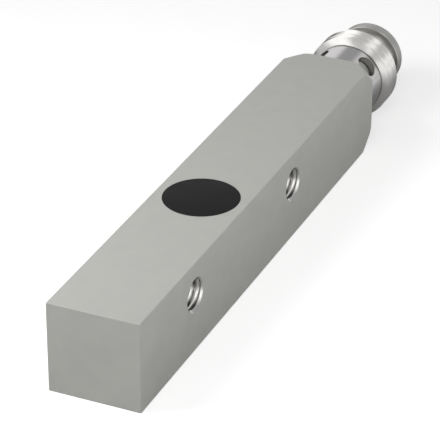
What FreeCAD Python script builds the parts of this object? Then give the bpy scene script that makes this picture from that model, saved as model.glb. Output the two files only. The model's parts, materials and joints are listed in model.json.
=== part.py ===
import FreeCAD, Part
import os
import re
import Sketcher
from FreeCAD import Placement, Rotation, Vector

# Inductive proximity sensor in a square metal bar, with an eight millimetre plug connector on its rear end.
# Lengths are millimetres. X runs across the bar, Y along it to the connector, and Z up to the sensing face.
# The origin lies under the middle of the whole sensor, on the plane that it rests on.
# Inside a body, y starts at the plain front end and z at the bar's axis, and a height is a place along z.

# Driving sizes, each written once
SIZES = {
    # The bar
    "bar_width": 8.0,
    "bar_height": 8.0,
    "bar_length": 48.8,
    "edge_radius": 0.1,
    "front_edge_cut": 0.08,
    "end_cone_radius": 4.7,
    "end_cone_length": 2.05,
    "end_round": 0.6,
    # The two threaded cross holes
    "first_hole": 10.0,
    "hole_spacing": 20.0,
    "hole_below_top": 2.88,
    "tap_drill": 2.5,
    "hole_mouth": 2.7,
    # The spaces inside the bar
    "channel_reach": 2.6,
    "channel_stop": 0.5,
    "channel_width": 5.2,
    "channel_floor": 0.9,
    "channel_roof": 3.2,
    "channel_corner": 0.4,
    "rear_bore": 6.0,
    "rear_bore_depth": 8.8,
    "rear_bore_lead_in": 0.15,
    "coil_pocket_depth": 4.3,
    "lead_passage": 1.8,
    # The sensing end: cap, core, bobbin and winding
    "coil_centre": 20.0,
    "face_diameter": 6.5,
    "face_thickness": 0.8,
    "cap_wall": 0.5,
    "core_height": 2.6,
    "core_base": 0.75,
    "core_wall": 0.6,
    "winding_window": 1.01,
    "bobbin_wall": 0.2,
    "bobbin_flange": 0.2,
    "winding_gap": 0.17,
    "lead_spread": 1.0,
    "lead_diameter": 0.2,
    "lead_hole": 0.4,
    # The circuit board and what it carries
    "board_end_gap": 0.3,
    "board_width": 4.6,
    "board_thickness": 0.6,
    "board_lift": 0.5,
    "board_corner": 0.4,
    "oscillator_from_coil": 6.4,
    "oscillator_side": 3.0,
    "oscillator_height": 0.9,
    "transistor_from_rear": 3.7,
    "transistor_length": 2.9,
    "transistor_width": 1.3,
    "transistor_height": 1.0,
    "transistor_lift": 0.1,
    "leg_width": 0.4,
    "leg_reach": 0.5,
    "leg_thickness": 0.3,
    "leg_spread": 1.9,
    "diode_from_rear": 6.7,
    "diode_length": 1.7,
    "diode_width": 1.25,
    "diode_height": 0.9,
    "capacitor_from_coil": 3.9,
    "capacitor_spacing": 2.2,
    "capacitor_length": 1.6,
    "capacitor_width": 0.8,
    "capacitor_height": 0.8,
    "resistor_from_coil": 9.2,
    "resistor_spacing": 1.4,
    "resistor_length": 1.6,
    "resistor_width": 0.8,
    "resistor_height": 0.45,
    # The connector sleeve
    "spigot_length": 4.0,
    "sleeve_bore": 5.2,
    "neck_diameter": 6.7,
    "neck_length": 4.2,
    "thread_diameter": 8.0,
    "thread_minor": 6.772,
    "thread_length": 2.25,
    "thread_flank": 0.354,
    "groove_diameter": 5.6,
    "groove_length": 2.5,
    "collar_diameter": 6.3,
    "collar_length": 1.25,
    "collar_chamfer": 0.15,
    "cavity_diameter": 4.9,
    "cavity_depth": 4.8,
    "cavity_lead_in": 0.12,
    "window_diameter": 2.0,
    "window_gap": 0.35,
    # The light guide and its lamps
    "guide_wall": 0.65,
    "guide_length": 3.6,
    "guide_land": 0.15,
    "boss_diameter": 1.9,
    "boss_sink": 0.65,
    "lamp_board_thickness": 0.6,
    "lamp_length": 1.0,
    "lamp_width": 0.6,
    "lamp_height": 0.5,
    "lamp_radius": 1.25,
    # The contacts and their carrier
    "seal_groove_width": 0.5,
    "seal_section": 0.4,
    "seal_corner": 0.1,
    "pin_circle": 2.9,
    "pin_diameter": 1.0,
    "pin_sink": 0.8,
    "pin_tip_cut": 0.25,
    "tail_diameter": 0.6,
    "tail_reach": 1.0,
    "key_width": 0.8,
    "key_height": 0.45,
    "key_length": 3.2,
    "wire_diameter": 0.4,
    "wire_from_rear": 1.0,
    # Running fit between pieces that slip together
    "slip": 0.02,
}

# Places worked out from the sizes
PLACES = {
    "overall_length": "bar_length + neck_length + thread_length + groove_length + collar_length",
    "top": "bar_height / 2",
    "corner_radius": "sqrt(bar_width ^ 2 + bar_height ^ 2) / 2",
    "end_cone_slope": "end_cone_length / (corner_radius - end_cone_radius)",
    "hole_height": "top - hole_below_top",
    "floor_height": "channel_floor - top",
    "roof_height": "channel_roof - top",
    "pocket_floor": "top - coil_pocket_depth",
    "rear_bore_front": "bar_length - rear_bore_depth",
    "spigot_rear": "bar_length - spigot_length",
    "channel_front": "coil_centre - channel_reach",
    "channel_rear": "spigot_rear - channel_stop",
    "board_height": "floor_height + board_lift",
    "board_top": "board_height + board_thickness",
    "board_front": "channel_front + board_end_gap",
    "board_rear": "channel_rear - board_end_gap",
    "cap_radius": "face_diameter / 2 - slip",
    "cap_inside": "top - face_thickness",
    "core_radius": "cap_radius - cap_wall - slip",
    "core_bottom": "cap_inside - core_height",
    "core_floor": "core_bottom + core_base",
    "winding_space": "core_radius - core_wall",
    "post_radius": "winding_space - winding_window",
    "bobbin_bore": "post_radius + slip",
    "bobbin_barrel": "bobbin_bore + bobbin_wall",
    "bobbin_rim": "winding_space - slip",
    "winding_rim": "bobbin_rim - winding_gap",
    "lead_circle": "(bobbin_barrel + bobbin_rim) / 2",
    "lead_offset": "sqrt(lead_circle ^ 2 - lead_spread ^ 2 / 4)",
    "winding_bottom": "core_floor + bobbin_flange",
    "winding_top": "cap_inside - bobbin_flange",
    "ring_rear": "bar_length + neck_length",
    "ring_front": "ring_rear + thread_length",
    "collar_rear": "overall_length - collar_length",
    "bore_radius": "sleeve_bore / 2",
    "cavity_radius": "cavity_diameter / 2",
    "cavity_floor": "overall_length - cavity_depth",
    "window_middle": "ring_rear - window_gap - window_diameter / 2",
    "guide_radius": "bore_radius - slip",
    "guide_front": "window_middle + window_diameter / 2 + guide_land",
    "guide_rear": "guide_front - guide_length",
    "boss_root": "guide_radius - guide_wall / 2",
    "boss_end": "neck_diameter / 2 - boss_sink",
    "carrier_rear": "guide_front",
    "seal_middle": "(carrier_rear + cavity_floor) / 2",
    "key_reach": "sqrt((cavity_radius - slip) ^ 2 - key_width ^ 2 / 4)",
    "lamp_board_rear": "guide_rear - lamp_board_thickness",
    "tail_rear": "lamp_board_rear - tail_reach",
    "wire_run": "board_rear - wire_from_rear - tail_rear",
    "pin_front": "overall_length - pin_sink",
}

PINS = ("contact_pin_4", "contact_pin_1", "contact_pin_3")
WINDOW_COUNT = 4
WINDOW_TURN = 45
LAMP_ANGLES = (30, 150)
NEAR = 1e-4

doc = FreeCAD.newDocument("proximity_sensor")
sheet = doc.addObject("Spreadsheet::Sheet", "sizes")
nodes = []


def fill_sheet():
    """Writes each driving size and its name into the sheet."""
    for row, (name, number) in enumerate(SIZES.items(), start=1):
        sheet.set(f"A{row}", name)
        sheet.set(f"B{row}", str(number))
        sheet.setAlias(f"B{row}", name)
    doc.recompute()


def full(text):
    """Spells out the places in an expression and reads its sizes from the sheet."""
    def spell(match):
        word = match.group(0)
        if word in PLACES:
            return "(" + full(PLACES[word]) + ")"
        return "sizes." + word if word in SIZES else word
    return re.sub(r"[a-z][a-z_]*", spell, text)


def value(text):
    """Works an expression out as a number."""
    return float(sheet.evalExpression(full(text)))


def bind(item, **expressions):
    """Ties properties of an item to the sheet; a double underscore stands for a dot."""
    for name, text in expressions.items():
        item.setExpression(name.replace("__", "."), full(text))


def seat(item, across="0", along="0", height="0"):
    """Puts an item's own origin at a place of the bar."""
    bind(item, Placement__Base__x=across, Placement__Base__y=f"{along} - overall_length / 2",
         Placement__Base__z=f"{height} + top")


def new_body(label, **place):
    """Starts a body that becomes one node."""
    body = doc.addObject("PartDesign::Body", label)
    seat(body, **place)
    nodes.append(body)
    return body


def origin_item(body, role):
    """Finds an origin plane or axis of a body."""
    return next(item for item in body.Origin.OriginFeatures if item.Role == role)


def new_sketch(body, name, role, offset="0", turn=0):
    """Attaches a sketch to an origin plane, turned about its upright axis and moved along its normal."""
    sketch = body.newObject("Sketcher::SketchObject", name)
    sketch.AttachmentSupport = [(origin_item(body, role), "")]
    sketch.MapMode = "FlatFace"
    sketch.AttachmentOffset = Placement(Vector(0, 0, 0), Rotation(Vector(0, 1, 0), turn))
    bind(sketch, AttachmentOffset__Base__x=f"({offset}) * sin({turn})",
         AttachmentOffset__Base__z=f"({offset}) * cos({turn})")
    return sketch


def hold(sketch, constraint, text):
    """Adds a constraint whose size follows an expression."""
    index = sketch.addConstraint(constraint)
    name = f"size_{index}"
    sketch.renameConstraint(index, name)
    sketch.setExpression(f"Constraints.{name}", full(text))


def pin_point(sketch, geometry, vertex, x, y):
    """Holds a point of a sketch at its distances from the sketch's origin."""
    hold(sketch, Sketcher.Constraint("DistanceX", -1, 1, geometry, vertex, value(x)), x)
    hold(sketch, Sketcher.Constraint("DistanceY", -1, 1, geometry, vertex, value(y)), y)


def draw_outline(sketch, points):
    """Draws a closed outline through points that are given as pairs of expressions."""
    corners = [Vector(value(x), value(y), 0) for x, y in points]
    count = len(corners)
    for index, corner in enumerate(corners):
        sketch.addGeometry(Part.LineSegment(corner, corners[(index + 1) % count]))
    for index in range(count):
        sketch.addConstraint(Sketcher.Constraint("Coincident", index, 2, (index + 1) % count, 1))
    for index, (x, y) in enumerate(points):
        pin_point(sketch, index, 1, x, y)


def draw_run(sketch, points):
    """Draws an open run of straight lines through points that are given as pairs of expressions."""
    corners = [Vector(value(x), value(y), 0) for x, y in points]
    for start, end in zip(corners, corners[1:]):
        sketch.addGeometry(Part.LineSegment(start, end))
    for index in range(len(corners) - 2):
        sketch.addConstraint(Sketcher.Constraint("Coincident", index, 2, index + 1, 1))
    pin_point(sketch, 0, 1, *points[0])
    for index, (x, y) in enumerate(points[1:]):
        pin_point(sketch, index, 2, x, y)


def draw_circle(sketch, x, y, radius):
    """Draws a circle about a point."""
    centre = Vector(value(x), value(y), 0)
    index = sketch.addGeometry(Part.Circle(centre, Vector(0, 0, 1), value(radius)))
    pin_point(sketch, index, 3, x, y)
    hold(sketch, Sketcher.Constraint("Radius", index, value(radius)), radius)


def rectangle(left, right, low, high):
    """Gives the corners of an upright rectangle."""
    return [(left, low), (right, low), (right, high), (left, high)]


def turned(body, name, kind, role, points):
    """Turns an outline about the upright axis of its plane, to add or to cut."""
    sketch = new_sketch(body, f"{name}_outline", role)
    draw_outline(sketch, points)
    feature = body.newObject(f"PartDesign::{kind}", name)
    feature.Profile = sketch
    feature.ReferenceAxis = (sketch, ["V_Axis"])
    feature.Angle = 360
    return feature


def extruded(body, name, kind, sketch, length, reverse=False):
    """Pads or pockets a sketch over a length."""
    feature = body.newObject(f"PartDesign::{kind}", name)
    feature.Profile = sketch
    bind(feature, Length=length)
    feature.Reversed = reverse
    return feature


def rounded(body, name, kind, base, size, test):
    """Fillets or chamfers the edges of a feature that pass a test."""
    doc.recompute()
    names = [f"Edge{index}" for index, edge in enumerate(base.Shape.Edges, start=1) if test(edge)]
    feature = body.newObject(f"PartDesign::{kind}", name)
    feature.Base = (base, names)
    bind(feature, **{"Radius" if kind == "Fillet" else "Size": size})
    return feature


def runs_along_bar(edge):
    """Says whether an edge is straight and parallel to the bar."""
    return edge.BoundBox.XLength < NEAR and edge.BoundBox.ZLength < NEAR


def is_end_arc(edge):
    """Says whether an edge is one of the four arcs where the cone meets the bar's flat end."""
    box = edge.BoundBox
    return box.YMin > value("bar_length") - NEAR and box.XLength > NEAR and box.ZLength > NEAR


def block(label, length, width, height, across, along, low):
    """Makes a box centred across and along the bar, standing at a height."""
    box = doc.addObject("Part::Box", label)
    bind(box, Length=width, Width=length, Height=height)
    seat(box, across=f"{across} - {width} / 2", along=f"{along} - {length} / 2", height=low)
    return box


def board_piece(label, kind, along, across="0"):
    """Makes a box-shaped component of a named kind, seated on the circuit board."""
    sizes = (f"{kind}_{side}" for side in ("length", "width", "height"))
    nodes.append(block(label, *sizes, across, along, "board_top"))


def channel_solid(body, kind):
    """Adds or cuts the low channel for the circuit board, with its rounded long corners."""
    sketch = new_sketch(body, "channel_section", "XZ_Plane", offset="-channel_front")
    draw_outline(sketch, rectangle("-channel_width / 2", "channel_width / 2", "floor_height", "roof_height"))
    feature = extruded(body, "channel", kind, sketch, "channel_rear - channel_front", kind == "Pad")
    doc.recompute()
    half = value("channel_width / 2")
    heights = (value("floor_height"), value("roof_height"))

    def is_channel_edge(edge):
        middle = edge.BoundBox.Center
        at_side = abs(abs(middle.x) - half) < NEAR
        at_level = min(abs(middle.z - height) for height in heights) < NEAR
        return runs_along_bar(edge) and at_side and at_level
    return rounded(body, "channel_corners", "Fillet", feature, "channel_corner", is_channel_edge)


def housing():
    """The bar: one metal piece with its coil pocket, board channel, rear bore and threaded cross holes."""
    body = new_body("housing")
    section = new_sketch(body, "bar_section", "XZ_Plane")
    draw_outline(section, rectangle("-bar_width / 2", "bar_width / 2", "-top", "top"))
    bar = extruded(body, "bar", "Pad", section, "bar_length", True)
    edges = rounded(body, "bar_edges", "Fillet", bar, "edge_radius", runs_along_bar)
    rounded(body, "front_edges", "Chamfer", edges, "front_edge_cut", lambda edge: edge.BoundBox.YMax < NEAR)
    cone = turned(body, "end_cone", "Groove", "XY_Plane", [
        ("end_cone_radius", "bar_length"),
        ("bar_width", "bar_length"),
        ("bar_width", "bar_length - (bar_width - end_cone_radius) * end_cone_slope"),
    ])
    rounded(body, "end_rounding", "Fillet", cone, "end_round", is_end_arc)
    channel_solid(body, "Pocket")
    turned(body, "rear_bore", "Groove", "XY_Plane", [
        ("0", "rear_bore_front"),
        ("rear_bore / 2", "rear_bore_front"),
        ("rear_bore / 2", "bar_length - rear_bore_lead_in"),
        ("rear_bore / 2 + rear_bore_lead_in", "bar_length"),
        ("0", "bar_length"),
    ])
    mouth = new_sketch(body, "coil_pocket_outline", "XY_Plane", offset="top")
    draw_circle(mouth, "0", "coil_centre", "face_diameter / 2")
    extruded(body, "coil_pocket", "Pocket", mouth, "coil_pocket_depth")
    passage = new_sketch(body, "lead_passage_outline", "XY_Plane", offset="pocket_floor")
    draw_circle(passage, "0", "coil_centre + lead_offset", "lead_passage / 2")
    extruded(body, "lead_passage", "Pocket", passage, "pocket_floor - roof_height")
    cross_holes(body)


def cross_holes(body):
    """Drills and countersinks the two cross holes from one side, and mirrors them for the other mouth."""
    centres = new_sketch(body, "hole_centres", "YZ_Plane", offset="bar_width / 2")
    for place in ("first_hole", "first_hole + hole_spacing"):
        draw_circle(centres, place, "hole_height", "tap_drill / 2")
    doc.recompute()
    holes = body.newObject("PartDesign::Hole", "cross_holes")
    holes.Profile = centres
    doc.recompute()
    holes.DepthType = "ThroughAll"
    holes.HoleCutType = "Countersink"
    holes.HoleCutCountersinkAngle = 90
    bind(holes, Diameter="tap_drill", HoleCutDiameter="hole_mouth")
    doc.recompute()
    mirror = body.newObject("PartDesign::Mirrored", "cross_holes_far_side")
    mirror.Originals = [holes]
    mirror.MirrorPlane = (origin_item(body, "YZ_Plane"), [""])
    body.Tip = mirror


def sensing_cap():
    """The plastic cap: a disc flush with the bar's top, with a skirt round the ferrite core."""
    body = new_body("sensing_cap", along="coil_centre")
    turned(body, "cap", "Revolution", "XZ_Plane", [
        ("0", "top"),
        ("0", "cap_inside"),
        ("cap_radius - cap_wall", "cap_inside"),
        ("cap_radius - cap_wall", "core_bottom"),
        ("cap_radius", "core_bottom"),
        ("cap_radius", "top"),
    ])


def lead_holes(body, name, low, high):
    """Drills the two holes that the winding's ends pass through, down from a height."""
    sketch = new_sketch(body, f"{name}_outline", "XY_Plane", offset=high)
    for side in ("-", ""):
        draw_circle(sketch, f"{side}lead_spread / 2", "lead_offset", "lead_hole / 2")
    extruded(body, name, "Pocket", sketch, f"{high} - ({low})")


def ferrite_core():
    """The pot core: a cup with a centre post, open towards the sensing face."""
    body = new_body("ferrite_core", along="coil_centre")
    turned(body, "core", "Revolution", "XZ_Plane", [
        ("0", "core_bottom"),
        ("core_radius", "core_bottom"),
        ("core_radius", "cap_inside"),
        ("winding_space", "cap_inside"),
        ("winding_space", "core_floor"),
        ("post_radius", "core_floor"),
        ("post_radius", "cap_inside"),
        ("0", "cap_inside"),
    ])
    lead_holes(body, "core_lead_holes", "core_bottom", "core_floor")


def coil_bobbin():
    """The bobbin: a thin barrel with two flanges in the core's winding space."""
    body = new_body("coil_bobbin", along="coil_centre")
    turned(body, "bobbin", "Revolution", "XZ_Plane", [
        ("bobbin_bore", "core_floor"),
        ("bobbin_rim", "core_floor"),
        ("bobbin_rim", "winding_bottom"),
        ("bobbin_barrel", "winding_bottom"),
        ("bobbin_barrel", "winding_top"),
        ("bobbin_rim", "winding_top"),
        ("bobbin_rim", "cap_inside"),
        ("bobbin_bore", "cap_inside"),
    ])
    lead_holes(body, "flange_lead_holes", "core_floor", "winding_bottom")


def coil_winding():
    """The winding: one ring of wire turns, as wide as the bobbin's barrel."""
    body = new_body("coil_winding", along="coil_centre")
    turned(body, "winding", "Revolution", "XZ_Plane", rectangle(
        "bobbin_barrel", "winding_rim", "winding_bottom", "winding_top"))


def coil_leads():
    """The winding's two ends, which drop through the core to the circuit board."""
    for number, side in enumerate(("-", ""), start=1):
        lead = doc.addObject("Part::Cylinder", f"coil_lead_{number}")
        bind(lead, Radius="lead_diameter / 2", Height="winding_bottom - board_top")
        seat(lead, across=f"{side}lead_spread / 2", along="coil_centre + lead_offset", height="board_top")
        nodes.append(lead)


def circuit_board():
    """The circuit board, with its four corners cut off so that it slides into the channel."""
    body = new_body("circuit_board")
    sketch = new_sketch(body, "board_outline", "XY_Plane", offset="board_height")
    half, cut = "board_width / 2", "board_corner"
    draw_outline(sketch, [
        (f"{cut} - {half}", "board_front"),
        (f"{half} - {cut}", "board_front"),
        (half, f"board_front + {cut}"),
        (half, f"board_rear - {cut}"),
        (f"{half} - {cut}", "board_rear"),
        (f"{cut} - {half}", "board_rear"),
        (f"-{half}", f"board_rear - {cut}"),
        (f"-{half}", f"board_front + {cut}"),
    ])
    extruded(body, "board", "Pad", sketch, "board_thickness")


def board_components():
    """The chips, resistors and capacitors on the circuit board."""
    nodes.append(block("oscillator_chip", "oscillator_side", "oscillator_side", "oscillator_height",
                       "0", "coil_centre + oscillator_from_coil", "board_top"))
    board_piece("protection_diode", "diode", "board_rear - diode_from_rear")
    for number, side in enumerate(("-", ""), start=1):
        board_piece(f"capacitor_{number}", "capacitor", "coil_centre + capacitor_from_coil",
                    f"{side}capacitor_spacing / 2")
    for number, side in enumerate(("-", "0 *", ""), start=1):
        board_piece(f"resistor_{number}", "resistor", "coil_centre + resistor_from_coil",
                    f"{side} resistor_spacing")


def output_transistor():
    """The output transistor: a moulded body on three short legs."""
    pieces = [block("transistor_body", "transistor_length", "transistor_width", "transistor_height",
                    "0", "board_rear - transistor_from_rear", "board_top + transistor_lift")]
    legs = (("-1", "-leg_spread / 2"), ("-1", "leg_spread / 2"), ("1", "0"))
    for number, (side, along) in enumerate(legs, start=1):
        pieces.append(transistor_leg(f"transistor_leg_{number}", side, along))
    whole = doc.addObject("Part::MultiFuse", "output_transistor")
    whole.Shapes = pieces
    nodes.append(whole)


def transistor_leg(label, side, along):
    """One flat leg from the transistor's side down to the board."""
    return block(label, "leg_width", "leg_reach", "transistor_lift + leg_thickness",
                 f"{side} * (transistor_width + leg_reach) / 2",
                 f"board_rear - transistor_from_rear + {along}", "board_top")


def connector_sleeve():
    """The turned sleeve: spigot, neck with lamp windows, thread blank, snap groove and collar."""
    body = new_body("connector_sleeve")
    turned(body, "sleeve", "Revolution", "XY_Plane", [
        ("bore_radius", "spigot_rear"),
        ("rear_bore / 2 - slip", "spigot_rear"),
        ("rear_bore / 2 - slip", "bar_length"),
        ("neck_diameter / 2", "bar_length"),
        ("neck_diameter / 2", "ring_rear"),
        ("thread_minor / 2", "ring_rear"),
        ("thread_diameter / 2", "ring_rear + thread_flank"),
        ("thread_diameter / 2", "ring_front"),
        ("thread_minor / 2", "ring_front + thread_flank"),
        ("groove_diameter / 2", "ring_front + thread_flank"),
        ("groove_diameter / 2", "collar_rear"),
        ("collar_diameter / 2", "collar_rear"),
        ("collar_diameter / 2", "overall_length - collar_chamfer"),
        ("collar_diameter / 2 - collar_chamfer", "overall_length"),
        ("cavity_radius + cavity_lead_in", "overall_length"),
        ("cavity_radius", "overall_length - cavity_lead_in"),
        ("cavity_radius", "cavity_floor"),
        ("bore_radius", "cavity_floor"),
    ])
    sketch = new_sketch(body, "window_outline", "XY_Plane", turn=WINDOW_TURN)
    draw_circle(sketch, "0", "window_middle", "window_diameter / 2")
    window = extruded(body, "window", "Pocket", sketch, "neck_diameter")
    ring_of(body, "windows", window)


def ring_of(body, name, feature):
    """Repeats a feature round the connector's axis, once for each lamp window."""
    doc.recompute()
    pattern = body.newObject("PartDesign::PolarPattern", name)
    pattern.Originals = [feature]
    pattern.Axis = (origin_item(body, "Y_Axis"), [""])
    pattern.Angle = 360
    pattern.Occurrences = WINDOW_COUNT
    body.Tip = pattern


def light_guide():
    """The clear ring behind the windows, with a boss that enters each of them."""
    body = new_body("light_guide")
    ring = rectangle("guide_radius - guide_wall", "guide_radius", "guide_rear", "guide_front")
    turned(body, "guide_ring", "Revolution", "XY_Plane", ring)
    sketch = new_sketch(body, "boss_outline", "XY_Plane", offset="boss_root", turn=WINDOW_TURN)
    draw_circle(sketch, "0", "window_middle", "boss_diameter / 2")
    boss = extruded(body, "boss", "Pad", sketch, "boss_end - boss_root")
    ring_of(body, "bosses", boss)


def pin_places():
    """Gives each contact's name with its place across the axis and its height above it, the top one first."""
    for index, label in enumerate(PINS):
        turn = 360 * index / len(PINS)
        yield label, f"-pin_circle / 2 * sin({turn})", f"pin_circle / 2 * cos({turn})"


def pin_holes(body, name, length, offset, radius):
    """Cuts one hole for each contact, over a length along the axis."""
    sketch = new_sketch(body, f"{name}_outline", "XZ_Plane", offset=offset)
    for _, across, height in pin_places():
        draw_circle(sketch, across, height, radius)
    extruded(body, name, "Pocket", sketch, length)


def lamp_board():
    """The round board at the connector's rear, which the contacts' tails are soldered through."""
    body = new_body("lamp_board")
    sketch = new_sketch(body, "lamp_board_outline", "XZ_Plane", offset="-lamp_board_rear")
    draw_circle(sketch, "0", "0", "guide_radius")
    extruded(body, "lamp_disc", "Pad", sketch, "lamp_board_thickness", True)
    pin_holes(body, "tail_holes", "lamp_board_thickness", "-lamp_board_rear", "tail_diameter / 2")


def indicator_lamps():
    """Two small lamps on the round board, between the contacts' tails."""
    for number, angle in enumerate(LAMP_ANGLES, start=1):
        lamp = doc.addObject("Part::Box", f"indicator_lamp_{number}")
        bind(lamp, Length="lamp_length", Width="lamp_height", Height="lamp_width")
        seat(lamp, across=f"lamp_radius * cos({angle}) - lamp_length / 2", along="guide_rear",
             height=f"lamp_radius * sin({angle}) - lamp_width / 2")
        nodes.append(lamp)


def contact_carrier():
    """The insulator: a plug with a seal groove, three contact holes and the coding key."""
    body = new_body("contact_carrier")
    turned(body, "carrier", "Revolution", "XY_Plane", [
        ("0", "carrier_rear"),
        ("guide_radius", "carrier_rear"),
        ("guide_radius", "seal_middle - seal_groove_width / 2"),
        ("bore_radius - seal_section", "seal_middle - seal_groove_width / 2"),
        ("bore_radius - seal_section", "seal_middle + seal_groove_width / 2"),
        ("guide_radius", "seal_middle + seal_groove_width / 2"),
        ("guide_radius", "cavity_floor"),
        ("0", "cavity_floor"),
    ])
    key = new_sketch(body, "key_section", "XZ_Plane", offset="-cavity_floor")
    draw_outline(key, rectangle("-key_width / 2", "key_width / 2", "-key_reach", "key_height - key_reach"))
    extruded(body, "coding_key", "Pad", key, "key_length", True)
    pin_holes(body, "contact_holes", "cavity_floor - carrier_rear", "-carrier_rear", "pin_diameter / 2")


def carrier_seal():
    """The ring seal in the carrier's groove, square in section with its corners cut off."""
    body = new_body("carrier_seal")
    inner, outer, cut = "bore_radius - seal_section", "bore_radius", "seal_corner"
    rear, front = "seal_middle - seal_section / 2", "seal_middle + seal_section / 2"
    turned(body, "seal", "Revolution", "XY_Plane", [
        (f"{inner} + {cut}", rear),
        (f"{outer} - {cut}", rear),
        (outer, f"{rear} + {cut}"),
        (outer, f"{front} - {cut}"),
        (f"{outer} - {cut}", front),
        (f"{inner} + {cut}", front),
        (inner, f"{front} - {cut}"),
        (inner, f"{rear} + {cut}"),
    ])


def contact_pins():
    """The three turned contacts, each with a thin tail to the rear and a tip cut to a short cone."""
    for label, across, height in pin_places():
        body = new_body(label, across=across, height=height)
        turned(body, "pin", "Revolution", "XY_Plane", [
            ("0", "tail_rear"),
            ("tail_diameter / 2", "tail_rear"),
            ("tail_diameter / 2", "carrier_rear"),
            ("pin_diameter / 2", "carrier_rear"),
            ("pin_diameter / 2", "pin_front - pin_tip_cut"),
            ("pin_diameter / 2 - pin_tip_cut", "pin_front"),
            ("0", "pin_front"),
        ])


def pin_wires():
    """The three wires that run from the contacts' tails and turn down to the circuit board."""
    for label, across, height in pin_places():
        body = new_body(label.replace("contact_pin", "pin_wire"), across=across, along="tail_rear",
                        height=height)
        path = new_sketch(body, "wire_path", "YZ_Plane")
        draw_run(path, [("0", "0"), ("wire_run", "0"), ("wire_run", f"board_top - ({height})")])
        section = new_sketch(body, "wire_section", "XZ_Plane")
        draw_circle(section, "0", "0", "wire_diameter / 2")
        wire = body.newObject("PartDesign::AdditivePipe", "wire")
        wire.Profile = section
        wire.Spine = path
        wire.Transition = "Right corner"


def potting_resin(inside):
    """The casting resin: all the space round the board, the wires and under the core."""
    body = doc.addObject("PartDesign::Body", "resin_space")
    seat(body)
    channel_solid(body, "Pad")
    turned(body, "bore_fill", "Revolution", "XY_Plane", [
        ("0", "rear_bore_front"),
        ("rear_bore / 2", "rear_bore_front"),
        ("rear_bore / 2", "spigot_rear"),
        ("bore_radius", "spigot_rear"),
        ("bore_radius", "lamp_board_rear"),
        ("0", "lamp_board_rear"),
    ])
    pocket = new_sketch(body, "pocket_fill_outline", "XY_Plane", offset="pocket_floor")
    draw_circle(pocket, "0", "coil_centre", "face_diameter / 2")
    extruded(body, "pocket_fill", "Pad", pocket, "core_bottom - pocket_floor")
    passage = new_sketch(body, "passage_fill_outline", "XY_Plane", offset="roof_height")
    draw_circle(passage, "0", "coil_centre + lead_offset", "lead_passage / 2")
    extruded(body, "passage_fill", "Pad", passage, "pocket_floor - roof_height")
    resin = doc.addObject("Part::Cut", "potting_resin")
    resin.Base = body
    resin.Tool = inside
    nodes.append(resin)


def cast_in_pieces():
    """Joins copies of the pieces that the resin surrounds, to be cut from it."""
    names = ("coil_lead", "circuit_board", "oscillator", "protection", "capacitor", "resistor", "output",
             "contact_pin", "pin_wire")
    whole = doc.addObject("Part::MultiFuse", "cast_in_pieces")
    whole.Shapes = [node for node in nodes if node.Label.startswith(names)]
    return whole


def build():
    """Makes every piece of the sensor, from the housing inwards."""
    housing()
    sensing_cap()
    ferrite_core()
    coil_bobbin()
    coil_winding()
    coil_leads()
    circuit_board()
    board_components()
    output_transistor()
    connector_sleeve()
    light_guide()
    lamp_board()
    indicator_lamps()
    contact_carrier()
    carrier_seal()
    contact_pins()
    pin_wires()
    doc.recompute()
    potting_resin(cast_in_pieces())
    doc.recompute()


def check():
    """Stops if a feature failed or a piece isn't a sound solid."""
    for item in doc.Objects:
        if "Invalid" in item.State or "Error" in item.State:
            raise RuntimeError(f"{item.Name} failed: {item.State}")
    for node in nodes:
        if node.Shape.isNull() or not node.Shape.isValid():
            raise RuntimeError(f"{node.Label} has no sound shape")


def write():
    """Writes each piece to its own file."""
    os.makedirs("parts", exist_ok=True)
    for node in nodes:
        node.Shape.exportStep(f"parts/{node.Label}.step")
        box = node.Shape.BoundBox
        print(f"{node.Label}: {len(node.Shape.Solids)} solid, {node.Shape.Volume:.3f} mm3,"
              f" y {box.YMin:.2f} to {box.YMax:.2f}, z {box.ZMin:.2f} to {box.ZMax:.2f}")


fill_sheet()
build()
check()
write()
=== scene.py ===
"""Looks of the square-bar proximity sensor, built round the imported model, which stays where it is.

The pieces' sizes are in millimetres, because the mesh operators keep their precision there, and each finished
piece is brought to metres in its mesh. X runs across the bar, Y along it to the connector and Z up.
"""

import json
import logging
import math
from dataclasses import dataclass, field
from enum import Enum
from itertools import pairwise
from typing import Any, Callable, Iterable, Sequence

import bpy
from mathutils import Matrix, Vector


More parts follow.
